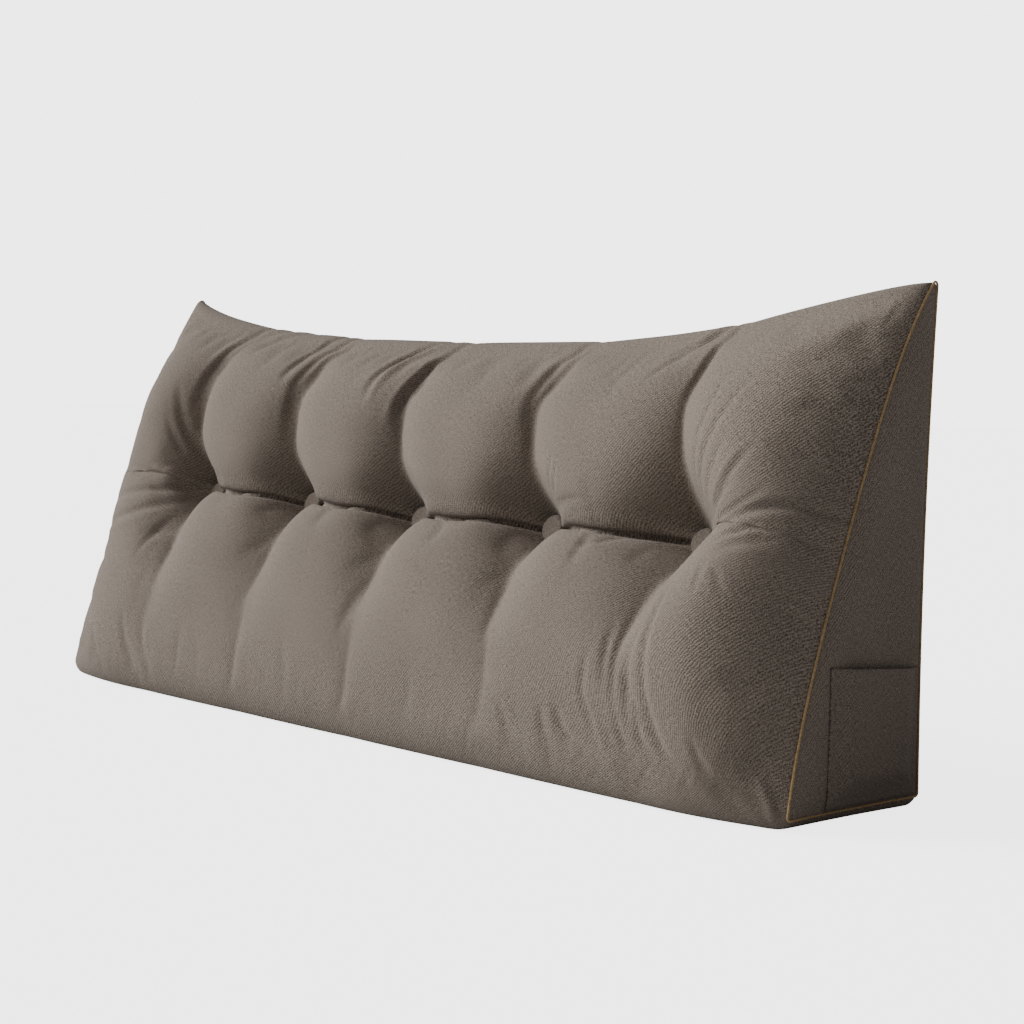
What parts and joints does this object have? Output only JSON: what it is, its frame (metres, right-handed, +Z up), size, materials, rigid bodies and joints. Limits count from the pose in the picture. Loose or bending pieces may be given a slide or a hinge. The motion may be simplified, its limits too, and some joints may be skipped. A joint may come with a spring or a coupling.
{
  "type": "wedge cushion",
  "caption": "Long filled wedge cushion for leaning back on, its sloping front drawn in by covered buttons, with a patch pocket and piped seams on one end.",
  "frame": {"origin": "on the flat underside, midway between the two end seams and midway between the front and back corners of the sewn cover", "axes": "+X along the cushion towards the end with the pocket, -Y towards the sloping front, +Z up"},
  "size_m": [1.2158, 0.2469, 0.5037],
  "materials": {
    "cover_cloth": "taupe-grey linen-look twill",
    "button_cloth": "the cover's twill drawn over a button",
    "pocket_cloth": "the cover's twill, hemmed",
    "gold_piping": "mustard-gold thin piping"
  },
  "bodies": {
    "root": {"cushion": "cover_cloth", "button_1": "button_cloth", "button_2": "button_cloth", "button_3": "button_cloth", "button_4": "button_cloth", "button_5": "button_cloth", "pocket": "pocket_cloth", "piping": "gold_piping"}
  },
  "joints": []
}
